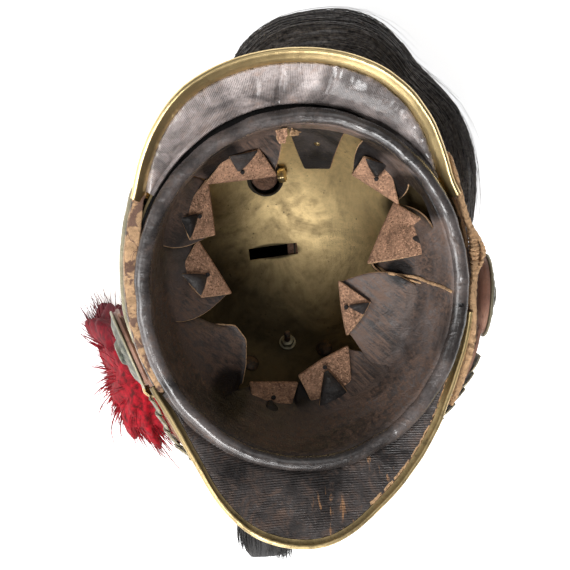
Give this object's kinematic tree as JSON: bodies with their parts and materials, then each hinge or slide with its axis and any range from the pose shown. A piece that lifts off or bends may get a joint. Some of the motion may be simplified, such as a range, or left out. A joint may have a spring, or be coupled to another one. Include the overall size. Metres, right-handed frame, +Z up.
{
  "type": "dragoon helmet",
  "caption": "Horse soldier's brass helmet lying crown down on its crest, with a padded leather liner, hide band, scaled chin strap, side plume, front tuft and a long hair mane.",
  "frame": {"origin": "on the flat top of the crest, below the middle of the skull, at the height of the floor that the helmet lies on", "axes": "+Z up out of the head opening, -Y towards the helmet's peak, -X towards the wearer's left, where the plume is"},
  "size_m": [0.2703, 0.3627, 0.2344],
  "materials": {
    "brass": "aged, satin",
    "dark_brass": "tarnished",
    "black_leather": "worn, semi-gloss",
    "spotted_hide": "short spotted fur, raw tan edge",
    "strap_leather": "raw",
    "black_hair": "horsehair",
    "red_feather": "feather",
    "brown_wood": "raw"
  },
  "bodies": {
    "root": {"skull": "brass", "crest": "brass", "crest_stud": "dark_brass", "crest_rivet_left": "dark_brass", "crest_rivet_right": "dark_brass", "vent_bush": "brass", "vent_plug": "brown_wood", "turban": "spotted_hide", "peak": "brass", "peak_lining": "black_leather", "peak_binding": "brass", "neck_guard": "brass", "neck_guard_lining": "black_leather", "neck_guard_binding": "brass", "liner_roll": "black_leather", "sweatband": "black_leather", "chin_strap": "strap_leather", "scales_left": "dark_brass", "scales_right": "dark_brass", "rosette_left": "dark_brass", "rosette_right": "dark_brass", "ear_pad_left": "strap_leather", "ear_pad_right": "strap_leather", "strap_buckle": "dark_brass", "plume_socket": "brass", "plume_stem": "brown_wood", "plume": "red_feather", "tuft_cup": "brass", "tuft": "black_hair", "mane_clasp": "brass", "mane": "black_hair"}
  },
  "joints": []
}
